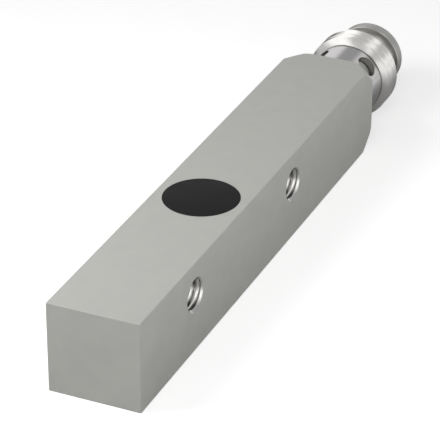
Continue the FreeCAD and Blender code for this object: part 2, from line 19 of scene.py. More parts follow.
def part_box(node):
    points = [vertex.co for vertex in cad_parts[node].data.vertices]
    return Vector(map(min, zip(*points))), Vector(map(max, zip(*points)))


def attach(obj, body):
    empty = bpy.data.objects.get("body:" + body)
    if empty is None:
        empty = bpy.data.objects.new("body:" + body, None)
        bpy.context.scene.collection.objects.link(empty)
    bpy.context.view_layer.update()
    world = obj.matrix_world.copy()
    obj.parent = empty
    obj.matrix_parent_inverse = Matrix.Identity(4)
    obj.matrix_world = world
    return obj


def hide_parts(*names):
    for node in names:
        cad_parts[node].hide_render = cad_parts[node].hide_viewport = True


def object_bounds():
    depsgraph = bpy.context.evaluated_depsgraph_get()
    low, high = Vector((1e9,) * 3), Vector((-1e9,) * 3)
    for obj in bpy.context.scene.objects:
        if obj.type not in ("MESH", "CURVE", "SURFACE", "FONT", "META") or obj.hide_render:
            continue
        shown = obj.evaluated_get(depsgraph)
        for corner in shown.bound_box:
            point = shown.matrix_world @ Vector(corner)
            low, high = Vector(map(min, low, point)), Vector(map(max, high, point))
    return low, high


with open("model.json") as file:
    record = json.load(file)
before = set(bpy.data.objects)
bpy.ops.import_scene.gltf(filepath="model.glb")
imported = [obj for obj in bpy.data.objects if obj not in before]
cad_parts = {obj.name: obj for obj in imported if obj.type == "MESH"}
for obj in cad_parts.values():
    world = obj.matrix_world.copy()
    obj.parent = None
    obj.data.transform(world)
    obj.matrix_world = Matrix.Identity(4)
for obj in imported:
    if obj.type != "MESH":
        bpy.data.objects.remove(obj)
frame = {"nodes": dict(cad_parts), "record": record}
CAD_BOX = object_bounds()

MM = 0.001
FULL_TURN = 2 * math.pi
SMOOTH_ANGLE = math.radians(32)
BEVEL_ANGLE = math.radians(25)
# In millimetres: what merges, what counts as touching, what counts as long, and how far a tool overruns.
MERGE_DISTANCE = 1e-4
NEAR = 1e-3
LONG = 1.0
MARGIN = 1.0
# How many turns a thread has to spare at each end before it is cut to length.
SPARE_TURNS = 2
# A point on the connector's axis, in metres.
AXIS_PLACE = (0.0, 0.0, 0.004)
WHITE = (1.0, 1.0, 1.0)
# How many times lighter a wire's other tone is, and the share of a chip's length that is ceramic.
WIRE_LIFT = 1.25
CERAMIC_SHARE = 0.6

Triple = tuple[float, float, float]
EdgeTest = Callable[[Vector, Vector], bool]
Layer = tuple[Any, Any, float, float]
# A turned outline: its radii in order, each with one or two places along the axis.
Outline = Sequence[tuple[float, ...]]
log = logging.getLogger("sensor")


def corners(node: str) -> tuple[Vector, Vector]:
    """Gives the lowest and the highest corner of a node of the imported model, in millimetres."""
    low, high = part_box(node)
    return low / MM, high / MM


def cross_holes() -> list[Vector]:
    """Gives the middles of the threaded cross holes, in metres, as the record's mounts have them."""
    return [Vector(mount["pos_m"]) for mount in frame["record"]["mounts"] if mount["kind"] == "threaded_hole"]


def beyond(measure: Callable[[Vector], float]) -> EdgeTest:
    """Gives the test that an edge passes when both its points measure zero or more."""
    return lambda a, b: min(measure(a), measure(b)) > -NEAR


def lengthwise(a: Vector, b: Vector) -> bool:
    """Tells whether the edge between two points runs along the bar."""
    return abs(a.y - b.y) > LONG


class Axis(Enum):
    """The direction that a turned piece is turned about."""

    ALONG = (0, 1, 0)
    UP = (0, 0, 1)

    def place(self, middle: Vector, radius: float, reach: float) -> Vector:
        """Gives the point at a radius on the +X side of an axis through the middle, at a reach along it."""
        along = Vector(self.value)
        return middle - along * middle.dot(along) + along * reach + Vector((radius, 0, 0))


class Workpiece:
    """A mesh that is being shaped, in millimetres, with its object at the origin."""

    def __init__(self, name: str) -> None:
        """Takes over the object that an operator has just added, and names it."""
        self.thing = bpy.context.object
        self.thing.name = self.thing.data.name = name

    @classmethod
    def block(cls, name: str, low: Vector, high: Vector) -> "Workpiece":
        """Starts from a cube that is stretched between two corners.

        Args:
            name: the piece's name.
            low: the lowest corner.
            high: the highest corner.

        Returns:
            The new piece.
        """
        bpy.ops.mesh.primitive_cube_add(size=1)
        piece = cls(name)
        piece.edit()
        bpy.ops.transform.resize(value=high - low, center_override=(0, 0, 0))
        bpy.ops.transform.translate(value=(high + low) / 2)
        piece.leave()
        return piece

    @classmethod
    def drill(cls, name: str, start: Vector, end: Vector, radius: float, sides: int) -> "Workpiece":
        """Starts from a round bar between two points.

        Args:
            name: the piece's name.
            start: the middle of one end.
            end: the middle of the other end.
            radius: its radius.
            sides: how many flat sides stand for the round one.

        Returns:
            The new piece.
        """
        run = end - start
        bpy.ops.mesh.primitive_cylinder_add(
            vertices=sides, radius=radius, depth=run.length, location=(start + end) / 2,
            rotation=run.to_track_quat("Z", "Y").to_euler())
        piece = cls(name)
        piece.apply()
        return piece

    @classmethod
    def chain(cls, name: str, points: Sequence[Vector]) -> "Workpiece":
        """Starts from one vertex that is extruded from point to point.

        Args:
            name: the piece's name.
            points: the places that the line of edges goes through.

        Returns:
            The new piece, in edit mode, with its line selected.
        """
        bpy.ops.mesh.primitive_plane_add(size=1)
        piece = cls(name)
        piece.edit()
        bpy.ops.mesh.merge(type="CENTER")
        bpy.ops.transform.translate(value=points[0])
        for start, end in pairwise(points):
            bpy.ops.mesh.extrude_vertices_move(TRANSFORM_OT_translate={"value": end - start})
        piece.merge()
        return piece

    @classmethod
    def turned(cls, name: str, outline: Outline, middle: Vector, axis: Axis = Axis.ALONG,
               steps: int = 96, closed: bool = False) -> "Workpiece":
        """Turns an outline about an axis, as on a lathe.

        Args:
            name: the piece's name.
            outline: its radii and their places along the axis.
            middle: a point that the axis goes through.
            axis: the axis's direction.
            steps: how many steps make the full turn.
            closed: whether the last point is joined to the first.

        Returns:
            The new piece.
        """
        points = [axis.place(middle, radius, reach) for radius, *places in outline for reach in places]
        piece = cls.chain(name, points + points[:1] if closed else points)
        bpy.ops.mesh.spin(steps=steps, angle=FULL_TURN, center=middle, axis=axis.value)
        piece.merge()
        piece.leave()
        return piece

    def apply(self) -> None:
        """Moves the object's place, turn and scale into its mesh."""
        bpy.ops.object.transform_apply(location=True, rotation=True, scale=True)

    def take(self) -> None:
        """Makes the piece the only one that operators act on."""
        bpy.ops.object.select_all(action="DESELECT")
        self.thing.select_set(True)
        bpy.context.view_layer.objects.active = self.thing

    def edit(self) -> None:
        """Enters edit mode with every vertex selected."""
        self.take()
        bpy.ops.object.mode_set(mode="EDIT")
        bpy.ops.mesh.select_mode(type="VERT")
        bpy.ops.mesh.select_all(action="SELECT")

    def leave(self) -> None:
        """Goes back to object mode."""
        bpy.ops.object.mode_set(mode="OBJECT")

    def merge(self) -> None:
        """Joins points that meet and turns all faces outwards, in edit mode."""
        bpy.ops.mesh.select_all(action="SELECT")
        bpy.ops.mesh.remove_doubles(threshold=MERGE_DISTANCE)
        bpy.ops.mesh.normals_make_consistent(inside=False)

    def round_edges(self, width: float, segments: int, test: EdgeTest) -> None:
        """Bevels the edges that pass a test.

        Args:
            width: how far the bevel reaches on each side.
            segments: how many facets make it round.
            test: tells whether the edge between two points is wanted.
        """
        self.edit()
        bpy.ops.mesh.select_mode(type="EDGE")
        bpy.ops.mesh.select_all(action="DESELECT")
        self.leave()
        mesh = self.thing.data
        for edge in mesh.edges:
            edge.select = test(*(mesh.vertices[index].co for index in edge.vertices))
        bpy.ops.object.mode_set(mode="EDIT")
        bpy.ops.mesh.bevel(offset=width, segments=segments, affect="EDGES")
        self.leave()

    def modify(self, kind: str, **settings: Any) -> None:
        """Adds a modifier and applies it.

        Args:
            kind: the modifier's type.
            settings: its properties by name.
        """
        self.take()
        modifier = self.thing.modifiers.new(kind.lower(), kind)
        for key, setting in settings.items():
            setattr(modifier, key, setting)
        bpy.ops.object.modifier_apply(modifier=modifier.name)

    def combine(self, tool: "Workpiece", operation: str) -> None:
        """Combines the piece with another one, which is used up, by DIFFERENCE, INTERSECT or UNION."""
        self.modify("BOOLEAN", object=tool.thing, operation=operation, solver="EXACT")
        bpy.data.objects.remove(tool.thing)

    def cut(self, tool: "Workpiece") -> None:
        """Takes another piece's shape away."""
        self.combine(tool, "DIFFERENCE")

    def place(self, move: Vector, turn: Vector = Vector((0, 0, 0))) -> None:
        """Turns the piece about the origin and then moves it.

        Args:
            move: how far it moves.
            turn: its turn about X, Y and Z, in radians.
        """
        self.take()
        self.thing.rotation_euler = turn
        self.thing.location = move
        self.apply()

    def copy(self, name: str, move: Vector) -> "Workpiece":
        """Makes a copy with a mesh of its own.

        Args:
            name: the copy's name.
            move: how far it stands from the piece.

        Returns:
            The copy.
        """
        self.take()
        bpy.ops.object.duplicate()
        twin = Workpiece(name)
        twin.place(move)
        return twin

    def finish(self, material: bpy.types.Material, slot: str, node: str) -> None:
        """Smooths and dresses the piece, brings it to metres and puts it in its node's place.

        Args:
            material: its material.
            slot: the record's material slot, which is not used.
            node: the node that it replaces.
        """
        self.take()
        self.thing.scale = (MM, MM, MM)
        self.apply()
        bpy.ops.object.shade_smooth_by_angle(angle=SMOOTH_ANGLE)
        self.modify("WEIGHTED_NORMAL", keep_sharp=True)
        self.thing.data.materials.clear()
        self.thing.data.materials.append(material)
        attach(self.thing, "root")
        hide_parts(node)
        log.info("%s: %d faces", self.thing.name, len(self.thing.data.polygons))


@dataclass(frozen=True)
class Thread:
    """A screw thread with straight flanks, whose angle is measured from a plane across its axis."""

    pitch: float
    crest_radius: float
    root_radius: float
    crest_flat: float
    steps: int
    flank_angle: float = 30.0

    @property
    def slope(self) -> float:
        """How far a flank reaches along the axis for each step away from it."""
        return math.tan(math.radians(self.flank_angle))

    def rod(self, name: str, start: float, end: float, crest: float) -> Workpiece:
        """Makes a threaded rod about the Y axis.

        Args:
            name: the rod's name.
            start: where it starts along Y.
            end: where it ends along Y.
            crest: where a crest crosses the +X side, along Y.

        Returns:
            The rod, with flat ends.
        """
        flank = (self.crest_radius - self.root_radius) * self.slope
        root_flat = self.pitch - self.crest_flat - 2 * flank
        rise = root_flat / 2 + flank
        turns = math.ceil((end - start) / self.pitch) + 2 * SPARE_TURNS
        low = crest - self.pitch * (0.5 + SPARE_TURNS + math.ceil((crest - start) / self.pitch))
        outline = [
            (self.root_radius, 0, root_flat / 2), (self.crest_radius, rise, rise + self.crest_flat),
            (self.root_radius, self.pitch - root_flat / 2, self.pitch)]
        piece = Workpiece.chain(
            name, [Vector((radius, low + reach, 0)) for radius, *places in outline for reach in places])
        piece.leave()
        piece.modify("SCREW", axis="Y", angle=FULL_TURN, screw_offset=self.pitch, iterations=turns,
                     steps=self.steps, render_steps=self.steps, use_merge_vertices=True,
                     merge_threshold=MERGE_DISTANCE)
        piece.edit()
        piece.merge()
        for place, side in ((start, -1), (end, 1)):
            bpy.ops.mesh.select_all(action="SELECT")
            bpy.ops.mesh.bisect(
                plane_co=(0, place, 0), plane_no=(0, side, 0), use_fill=True, clear_outer=True)
        piece.merge()
        piece.leave()
        return piece


class Pattern(Enum):
    """The fine structure of a surface. Each value names its node group."""

    GRAIN = "fine_grain"
    RINGS = "turned_rings"
    WEAVE = "cross_weave"
    TURNS = "wire_turns"
    ENDS = "metal_ends"


class Graph:
    """A node tree that is being wired up."""

    def __init__(self, tree: bpy.types.NodeTree) -> None:
        """Empties a material's, the world's or a group's node tree and starts on it."""
        self.tree = tree
        tree.nodes.clear()

    def add(self, kind: str, *sources: Any, settings: dict[str, Any] | None = None,
            **values: Any) -> bpy.types.Node:
        """Adds a node.

        Args:
            kind: the node's type, without ShaderNode in front.
            sources: what the first inputs take, in order: an output, a number or None.
            settings: the node's own properties.
            values: what named inputs take, with spaces written as underscores.

        Returns:
            The node.
        """
        node = self.tree.nodes.new(kind if kind.startswith("NodeGroup") else f"ShaderNode{kind}")
        for key, setting in (settings or {}).items():
            setattr(node, key, setting)
        for index, source in enumerate(sources):
            self.feed(node.inputs[index], source)
        for key, source in values.items():
            self.feed(node.inputs[key.replace("_", " ")], source)
        return node

    def feed(self, socket: bpy.types.NodeSocket, source: Any) -> None:
        """Gives a socket an output to follow, or a value of its own.

        Args:
            socket: the socket.
            source: an output, a number, a vector, a colour without its alpha, or None to leave the socket.
        """
        if isinstance(source, bpy.types.NodeSocket):
            self.tree.links.new(source, socket)
        elif source is not None:
            socket.default_value = (*source, 1) if socket.type == "RGBA" else source

    def socket(self, side: str, kind: str, *names: str) -> None:
        """Gives a group sockets of one kind, on the INPUT or the OUTPUT side."""
        for name in names:
            self.tree.interface.new_socket(name, in_out=side, socket_type=f"NodeSocket{kind}")

    def sum(self, operation: str, *sources: Any) -> Any:
        """Works out a number from outputs or numbers, by an operation of the Math node."""
        return self.add("Math", *sources, settings={"operation": operation}).outputs[0]

    def vector(self, operation: str, *sources: Any) -> Any:
        """Works out a vector, or its length or distance, by an operation of the Vector Math node."""
        made = self.add("VectorMath", *sources, settings={"operation": operation}).outputs
        return made["Value" if operation in ("LENGTH", "DISTANCE") else "Vector"]

    def here(self) -> Any:
        """Gives the place on the piece, in metres."""
        return self.add("TexCoord").outputs["Object"]

    def parts(self, vector: Any) -> Any:
        """Gives the outputs X, Y and Z of a vector."""
        return self.add("SeparateXYZ", vector).outputs

    def group(self, tree: bpy.types.NodeTree, **values: Any) -> Any:
        """Adds a node group and gives its outputs."""
        return self.add("Group", settings={"node_tree": tree}, **values).outputs

    def mix(self, mask: Any, off: Any, on: Any) -> Any:
        """Mixes two numbers by a mask."""
        return self.add("Mix", mask, None, off, on).outputs[0]

    def blend(self, mask: Any, off: Any, on: Any) -> Any:
        """Mixes two colours by a mask."""
        sources = (mask, *[None] * 5, off, on)
        return self.add("Mix", *sources, settings={"data_type": "RGBA"}).outputs[2]

    def spread(self, source: Any, low: float, high: float, to_low: float, to_high: float) -> Any:
        """Maps the numbers from low to high to those from to_low to to_high, and holds them there."""
        return self.add("MapRange", source, low, high, to_low, to_high).outputs[0]


class PatternGraph(Graph):
    """The node group of a pattern, with inputs for the parts to the metre and for the place to start from."""

    # The drift's scale, to the pattern's own, and the noise between which it runs.
    DRIFT = 0.06
    DRIFT_RANGE = (0.35, 0.65)
    # The finer pits' scale and their share.
    FINER = 4.3
    FINE_SHARE = 0.4
    # The scale and the share of the ripple in a chip's metal edge, and where that edge starts and ends.
    RIPPLE = 6.0
    RIPPLE_SHARE = 0.08
    METAL_EDGE = (1.0, 1.06)

    def __init__(self, pattern: Pattern) -> None:
        """Makes the group and draws it by the method that has the pattern's name.

        Args:
            pattern: the pattern.
        """
        super().__init__(bpy.data.node_groups.new(pattern.value, "ShaderNodeTree"))
        self.socket("INPUT", "Float", "Scale")
        self.socket("INPUT", "Vector", "Middle")
        self.socket("OUTPUT", "Float", "Mask", "Height")
        given = self.add("NodeGroupInput").outputs
        self.scale = given["Scale"]
        self.place = self.vector("SUBTRACT", self.here(), given["Middle"])
        self.add("NodeGroupOutput", *getattr(self, pattern.name.lower())())

    def scaled(self, factor: Any) -> Any:
        """Multiplies the scale."""
        return self.sum("MULTIPLY", self.scale, factor)

    def noise(self, scale: Any, detail: float = 2) -> Any:
        """Adds soft noise and gives its value."""
        return self.add("TexNoise", Vector=self.place, Scale=scale, Detail=detail).outputs[0]

    def drift(self) -> Any:
        """Adds a slow change of tone across the piece and gives it as a mask."""
        return self.spread(self.noise(self.scaled(self.DRIFT), 4), *self.DRIFT_RANGE, 0, 1)

    def wave(self, side: str, distortion: float) -> Any:
        """Adds soft bands across one axis and gives their value."""
        return self.add("TexWave", Vector=self.place, Scale=self.scale, Distortion=distortion,
                        settings={"bands_direction": side}).outputs["Fac"]

    def grain(self) -> tuple[Any, Any]:
        """Draws blasted metal or moulded plastic: fine pits of two sizes."""
        fine = self.noise(self.scaled(self.FINER))
        return self.drift(), self.mix(self.FINE_SHARE, self.noise(self.scale), fine)

    def rings(self) -> tuple[Any, Any]:
        """Draws the fine rings that a lathe tool leaves, on round faces and on ends.

        Returns:
            The mask and the height.
        """
        apart = self.vector("LENGTH", self.vector("MULTIPLY", self.place, (1, 0, 1)))
        reach = self.sum("ADD", apart, self.parts(self.place)["Y"])
        steady = self.add("TexNoise", W=self.scaled(reach), Scale=1.0, Detail=3.0,
                          settings={"noise_dimensions": "1D"}).outputs[0]
        return self.drift(), steady

    def weave(self) -> tuple[Any, Any]:
        """Draws the cross weave of glass cloth under a lacquer."""
        return self.drift(), self.sum("MAXIMUM", self.wave("X", 0.4), self.wave("Y", 0.4))

    def turns(self) -> tuple[Any, Any]:
        """Draws turns of wire, one above the other."""
        wave = self.wave("Z", 0.2)
        return wave, self.sum("SQRT", wave)

    def ends(self) -> tuple[Any, Any]:
        """Draws the metal ends of a small chip, past a distance of one over the scale from its middle.

        Returns:
            The mask and the height.
        """
        reach = self.scaled(self.sum("ABSOLUTE", self.parts(self.place)["Y"]))
        ripple = self.noise(self.scaled(self.RIPPLE))
        edge = self.sum("MULTIPLY_ADD", ripple, self.RIPPLE_SHARE, reach)
        return self.spread(edge, *self.METAL_EDGE, 0, 1), ripple


class BoreGraph(Graph):
    """The node group that marks the walls of the threaded cross holes.

    Its output Mask is one inside the holes and none on the outer faces. Its output Shade is painted shade:
    one in the thread's grooves at the foot of a hole, half in the grooves higher up and on the mouth's rim at
    the foot, and some over the upper half. Lengths are in metres.
    """

    # How far the holes' metal reaches from their axes, and the radius of their mouths with its slack.
    REACH = 0.00152
    MOUTH = 0.0015
    SKIN = 0.00001
    # The radii between which the painted shade darkens a groove, and how much that grows downwards.
    GROOVE = (0.00141, 0.00149)
    LEAN = 0.1
    # How far below the axis the painted dark foot starts and the painted grey top ends, and how dark the
    # painted shade makes the other places.
    FOOT = (0.001, 0.0013)
    TOP = (0.0001, 0.0005)
    SHADE_SHARE = 0.5
    TOP_SHADE = 0.4

    def __init__(self) -> None:
        """Makes the group and draws it."""
        super().__init__(bpy.data.node_groups.new("threaded_bores", "ShaderNodeTree"))
        self.socket("OUTPUT", "Float", "Mask", "Shade")
        here, places = self.here(), cross_holes()
        parts = self.parts(here)
        flat = self.vector("MULTIPLY", here, (0, 1, 1))
        reach = self.sum("MINIMUM", *(self.vector("DISTANCE", flat, (0, *place.yz)) for place in places))
        inside = self.sum("LESS_THAN", reach, self.REACH)
        deep = self.sum("SUBTRACT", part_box("housing")[1].x, self.sum("ABSOLUTE", parts["X"]))
        within = self.sum("GREATER_THAN", deep, NEAR * MM)
        mouth = self.sum("COMPARE", self.sum("ADD", reach, deep), self.MOUTH, self.SKIN)
        below = self.sum("SUBTRACT", places[0].z, parts["Z"])
        # Painted shade: the grooves, the mouth's rim and the upper half are darkened, most at the foot.
        groove = self.spread(self.sum("MULTIPLY_ADD", below, self.LEAN, reach), *self.GROOVE, 0, 1)
        cut = self.sum("MULTIPLY", groove, self.spread(below, *self.FOOT, self.SHADE_SHARE, 1))
        rim = self.spread(below, *self.FOOT, 0, self.SHADE_SHARE)
        top = self.spread(below, *self.TOP, self.TOP_SHADE, 0)
        shade = self.sum("MAXIMUM", self.mix(mouth, cut, rim), top)
        self.add("NodeGroupOutput", self.sum("MULTIPLY", inside, within), shade)


class Patterns:
    """The node groups that the materials share."""

    def __init__(self) -> None:
        """Builds each group once."""
        self.groups = {pattern: PatternGraph(pattern).tree for pattern in Pattern}
        self.bores = BoreGraph().tree


@dataclass(frozen=True)
class Finish:
    """A surface: two tones and two roughnesses that its pattern mixes, over a relief in millimetres."""

    pattern: Pattern
    scale: float
    tone: Triple
    other_tone: Triple
    roughness: float
    other_roughness: float
    relief: float
    metallic: float = 0.0
    other_metallic: float | None = None
    middle: Triple = (0.0, 0.0, 0.0)
    sockets: dict[str, float] = field(default_factory=dict)

    def material(self, name: str, patterns: Patterns) -> bpy.types.Material:
        """Builds the material.

        Args:
            name: the material's name.
            patterns: the node groups that it draws on.

        Returns:
            The material.
        """
        made = bpy.data.materials.new(name)
        made.use_nodes = True
        graph = Graph(made.node_tree)
        drawn = graph.group(patterns.groups[self.pattern], Scale=self.scale, Middle=self.middle)
        mask, metal = drawn["Mask"], self.metallic
        colour = graph.blend(mask, self.tone, self.other_tone)
        rough = graph.spread(mask, 0, 1, self.roughness, self.other_roughness)
        if self.other_metallic is not None:
            metal = graph.spread(mask, 0, 1, metal, self.other_metallic)
        for over, tone, roughness, metallic in self.layers(graph, patterns):
            colour = graph.blend(over, colour, tone)
            rough = graph.mix(over, rough, roughness)
            metal = graph.mix(over, metal, metallic)
        bump = graph.add("Bump", Height=drawn["Height"], Distance=self.relief * MM,
                         Strength=self.share(graph, patterns))
        surface = graph.add("BsdfPrincipled", Base_Color=colour, Roughness=rough, Metallic=metal,
                            Normal=bump.outputs[0], **self.sockets)
        graph.add("OutputMaterial", surface.outputs[0])
        return made

    def layers(self, graph: Graph, patterns: Patterns) -> Iterable[Layer]:
        """Gives what lies over the plain surface, which is nothing."""
        return ()

    def share(self, graph: Graph, patterns: Patterns) -> Any:
        """Gives the share of the relief that shows, which is all of it."""
        return 1.0


@dataclass(frozen=True)
class BoredFinish(Finish):
    """A blasted surface with smooth cut metal in the threaded holes, whose grooves, foot and top are darkened
    by painted shade.
    """

    cut_tone: Triple = (0.93, 0.92, 0.90)
    # The colour of the painted shade in the holes.
    groove_shade_tone: Triple = (0.09, 0.09, 0.085)
    cut_roughness: float = 0.2

    def layers(self, graph: Graph, patterns: Patterns) -> Iterable[Layer]:
        """Gives the cut metal, darkened towards the groove tone by the painted shade."""
        mask, shade = graph.group(patterns.bores)
        yield mask, graph.blend(shade, self.cut_tone, self.groove_shade_tone), self.cut_roughness, 1.0

    def share(self, graph: Graph, patterns: Patterns) -> Any:
        """Gives the share of the relief that shows, which is none in the holes."""
        return graph.sum("SUBTRACT", 1.0, graph.group(patterns.bores)["Mask"])


@dataclass(frozen=True)
class Zone:
    """A stretch of a turned piece, along Y in metres, with a tone and sheen of its own; on the connector,
    some zones carry painted shade.

    It covers what lies further from the axis than its depth, also in metres.
    """

    start: float
    end: float
    tone: Triple
    roughness: float
    metallic: float = 1.0
    depth: float = 0.0


@dataclass(frozen=True)
class ZonedFinish(Finish):
    """A turned surface whose zones differ in tone and sheen, some of them as painted shade."""

    zones: tuple[Zone, ...] = ()

    def layers(self, graph: Graph, patterns: Patterns) -> Iterable[Layer]:
        """Gives the zones.

        Args:
            graph: the material's graph.
            patterns: the node groups that the materials share, which are not used.

        Yields:
            Each zone's mask, tone and roughness, and how metallic it is.
        """
        here = graph.here()
        along = graph.parts(here)["Y"]
        apart = graph.vector("DISTANCE", graph.vector("MULTIPLY", here, (1, 0, 1)), self.middle)
        for zone in self.zones:
            within = graph.sum("COMPARE", along, (zone.start + zone.end) / 2, (zone.end - zone.start) / 2)
            inside = graph.sum("MULTIPLY", within, graph.sum("GREATER_THAN", apart, zone.depth))
            yield inside, zone.tone, zone.roughness, zone.metallic


def wire_finish(tone: Triple) -> Finish:
    """Gives the finish of a plastic-coated wire of one colour."""
    lighter = tuple(WIRE_LIFT * part for part in tone)
    return Finish(Pattern.GRAIN, 9000, tone, lighter, 0.38, 0.46, 0.004)


def chip_finish(node: str, tone: Triple) -> Finish:
    """Gives the finish of a small ceramic chip with tinned ends.

    Args:
        node: a node whose middle and length the pattern follows.
        tone: the ceramic's colour.

    Returns:
        The finish.
    """
    low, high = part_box(node)
    reach = CERAMIC_SHARE * (high.y - low.y) / 2
    return Finish(Pattern.ENDS, 1 / reach, tone, (0.75, 0.74, 0.7), 0.45, 0.3, 0.004,
                  other_metallic=1.0, middle=(0.0, (low.y + high.y) / 2, 0.0))


FINISHES = {
    "housing_metal": BoredFinish(
        Pattern.GRAIN, 11000, (0.50, 0.50, 0.475), (0.53, 0.53, 0.50), 0.50, 0.56, 0.003, metallic=0.35),
    "connector_nickel": ZonedFinish(
        Pattern.RINGS, 22000, (0.74, 0.73, 0.71), (0.80, 0.79, 0.77), 0.14, 0.22, 0.0012, metallic=1.0,
        middle=AXIS_PLACE, zones=(
            # Painted shade: the neck, darker still on its outer face than on its window walls, a thin dark
            # line at the foot of the ring's flank, and the groove behind the ring. The collar is rougher and
            # its chamfer lighter.
            Zone(0.0193, 0.0234, (0.48, 0.47, 0.46), 0.2),
            Zone(0.0193, 0.0234, (0.45, 0.44, 0.44), 0.15, depth=0.0033),
            Zone(0.02337, 0.02349, (0.10, 0.10, 0.10), 0.4),
            Zone(0.0259, 0.0284, (0.50, 0.49, 0.47), 0.3),
            Zone(0.0284, 0.0294, (0.40, 0.40, 0.385), 0.5, 0.8),
            Zone(0.0294, 0.0296, (0.55, 0.54, 0.52), 0.4, 0.9),
        )),
    "cap_plastic": Finish(
        Pattern.GRAIN, 9000, (0.014, 0.014, 0.015), (0.018, 0.018, 0.019), 0.6, 0.7, 0.003,
        sockets={"Specular IOR Level": 0.08}),
    "ferrite": Finish(
        Pattern.GRAIN, 7000, (0.05, 0.05, 0.055), (0.09, 0.09, 0.095), 0.55, 0.7, 0.006),
    "bobbin_plastic": Finish(
        Pattern.GRAIN, 6000, (0.68, 0.64, 0.52), (0.74, 0.7, 0.58), 0.42, 0.5, 0.003),
    "winding_copper": Finish(
        Pattern.TURNS, 1600, (0.42, 0.13, 0.05), (0.78, 0.34, 0.16), 0.42, 0.24, 0.03, metallic=0.9),
    "board_laminate": Finish(
        Pattern.WEAVE, 1500, (0.01, 0.1, 0.035), (0.016, 0.14, 0.05), 0.3, 0.38, 0.006,
        sockets={"Coat Weight": 0.4}),
    "chip_mould": Finish(
        Pattern.GRAIN, 8000, (0.016, 0.016, 0.017), (0.026, 0.026, 0.027), 0.55, 0.66, 0.006),
    "capacitor_ceramic": chip_finish("capacitor_1", (0.42, 0.27, 0.14)),
    "resistor_ceramic": chip_finish("resistor_1", (0.02, 0.02, 0.022)),
    "lamp_resin": Finish(
        Pattern.GRAIN, 5000, (0.82, 0.66, 0.2), (0.86, 0.74, 0.3), 0.18, 0.26, 0.002,
        sockets={"Transmission Weight": 0.3}),
    "guide_plastic": Finish(
        Pattern.GRAIN, 5200, (0.66, 0.67, 0.63), (0.72, 0.73, 0.69), 0.08, 0.14, 0.003,
        sockets={"Transmission Weight": 0.3, "IOR": 1.5}),
    "insulator_plastic": Finish(
        Pattern.GRAIN, 7500, (0.02, 0.02, 0.021), (0.028, 0.028, 0.029), 0.42, 0.5, 0.003),
    "contact_gold": Finish(
        Pattern.RINGS, 30000, (0.86, 0.6, 0.22), (0.92, 0.67, 0.3), 0.18, 0.26, 0.0008, metallic=1.0,
        middle=AXIS_PLACE),
    "seal_rubber": Finish(
        Pattern.GRAIN, 6500, (0.015, 0.015, 0.016), (0.022, 0.022, 0.023), 0.62, 0.72, 0.004),
    "wire_brown": wire_finish((0.13, 0.05, 0.022)),
    "wire_blue": wire_finish((0.02, 0.07, 0.32)),
    "wire_black": wire_finish((0.015, 0.015, 0.016)),
    "casting_resin": Finish(
        Pattern.GRAIN, 2600, (0.03, 0.03, 0.028), (0.045, 0.044, 0.04), 0.25, 0.4, 0.008,
        sockets={"Coat Weight": 0.3}),
}


